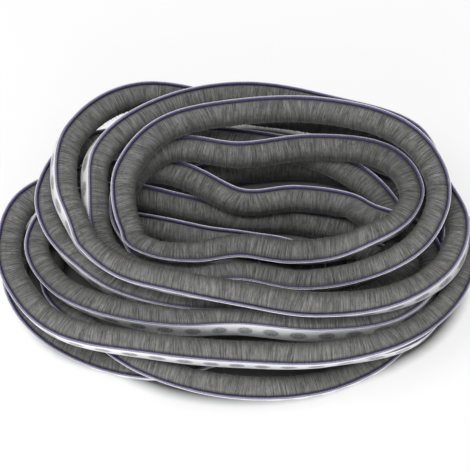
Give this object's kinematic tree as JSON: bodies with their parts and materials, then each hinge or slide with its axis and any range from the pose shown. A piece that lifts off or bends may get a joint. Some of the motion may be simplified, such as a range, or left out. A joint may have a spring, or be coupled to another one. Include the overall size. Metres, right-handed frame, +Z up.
{
  "type": "self-adhesive weatherstrip",
  "caption": "Length of self-adhesive brush-pile weatherstrip in a loose oval hank, pile turned inward and a paper liner over the adhesive.",
  "frame": {"origin": "on the floor, at the middle of the hank's bounding box", "axes": "+X along the hank's length, +Y across it towards the side that the upper turns lean to, +Z up"},
  "size_m": [0.2536, 0.1972, 0.0478],
  "materials": {
    "pile": "dense brushed yarn, cut level",
    "backing": "finely ribbed, satin",
    "liner": "smooth siliconed paper"
  },
  "bodies": {
    "root": {"pile": "pile", "backing": "backing", "release_liner": "liner"}
  },
  "joints": []
}
